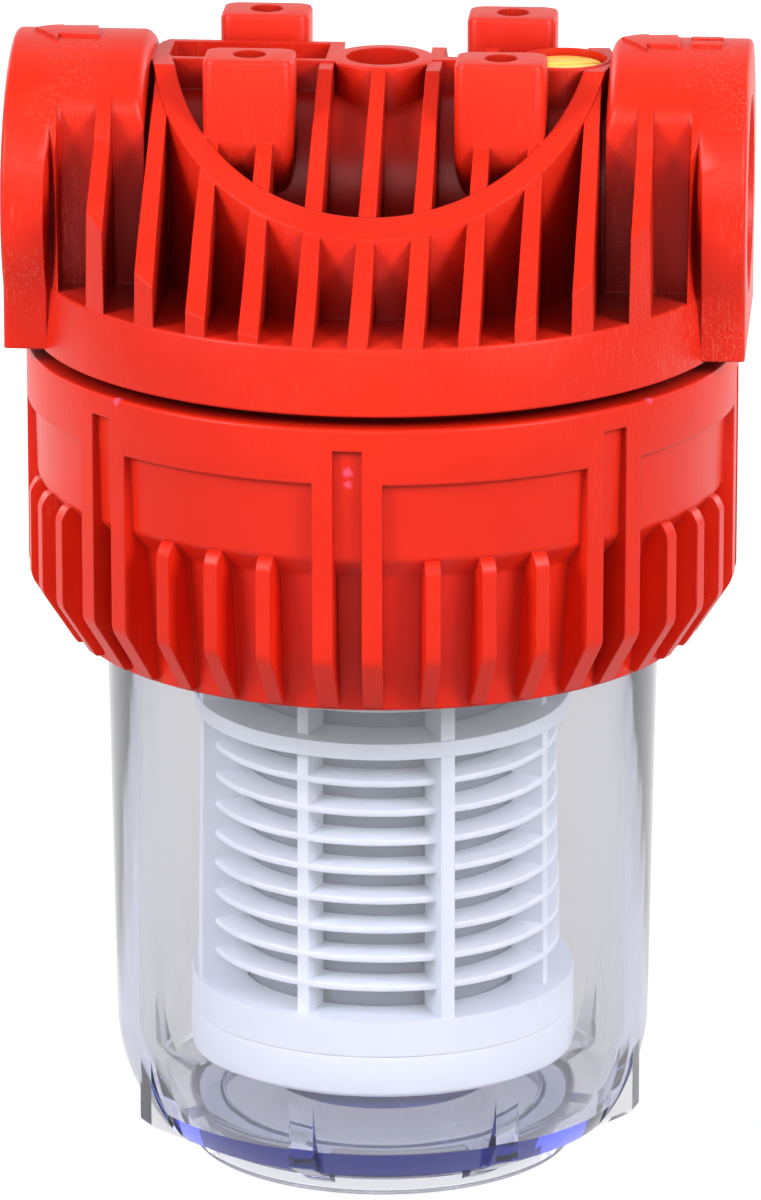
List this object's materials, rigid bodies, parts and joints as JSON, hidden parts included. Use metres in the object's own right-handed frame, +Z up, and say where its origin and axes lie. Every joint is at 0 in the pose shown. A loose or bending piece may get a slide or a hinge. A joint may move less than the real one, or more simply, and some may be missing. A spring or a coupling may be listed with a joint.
{
  "type": "water filter",
  "caption": "Cartridge water filter: ribbed red head with threaded side ports, ribbed clamping nut, clear bowl and a white mesh cartridge inside.",
  "frame": {"origin": "on the floor plane under the bowl's foot ring, on the bowl's axis", "axes": "+Z up along the bowl's axis, +X from the axis towards the inlet port, -Y towards the front"},
  "size_m": [0.1316, 0.128, 0.2075],
  "materials": {
    "red_moulding": "satin moulded",
    "clear_bowl": "clear polished",
    "white_moulding": "satin moulded",
    "nylon_mesh": "fine woven",
    "soft_gasket": "soft matte",
    "black_rubber": "smooth",
    "turned_brass": "turned"
  },
  "bodies": {
    "head": {"head": "red_moulding"},
    "bowl": {"bowl": "clear_bowl", "bowl_o_ring": "black_rubber", "lower_gasket": "soft_gasket", "lower_end_cap": "white_moulding", "cage": "white_moulding", "mesh_screen": "nylon_mesh", "upper_end_cap": "white_moulding", "upper_gasket": "soft_gasket"},
    "clamp_nut": {"clamp_nut": "red_moulding"},
    "vent_seal": {"vent_o_ring": "black_rubber"},
    "vent_screw": {"vent_screw": "turned_brass"}
  },
  "joints": [
    {"name": "bowl_drop", "type": "slide", "parent": "head", "child": "bowl", "axis": [0, 0, -1], "range_m": [0, 0.02401]},
    {"name": "nut_turn", "type": "hinge", "parent": "bowl", "child": "clamp_nut", "pos_m": [0, 0, 0.125], "axis": [0, 0, -1], "range_deg": [0, 1440]},
    {"name": "vent_rise", "type": "slide", "parent": "head", "child": "vent_seal", "axis": [0, 0, 1], "range_m": [0, 0.0067]},
    {"name": "vent_turn", "type": "hinge", "parent": "vent_seal", "child": "vent_screw", "pos_m": [0.0324, 0, 0.2024], "axis": [0, 0, 1], "range_deg": [0, 1800]}
  ],
  "couplings": [
    {"joint": "bowl_drop", "follows": "nut_turn", "m_per_rad": 0.00095493},
    {"joint": "vent_rise", "follows": "vent_turn", "m_per_rad": 0.00021279}
  ]
}
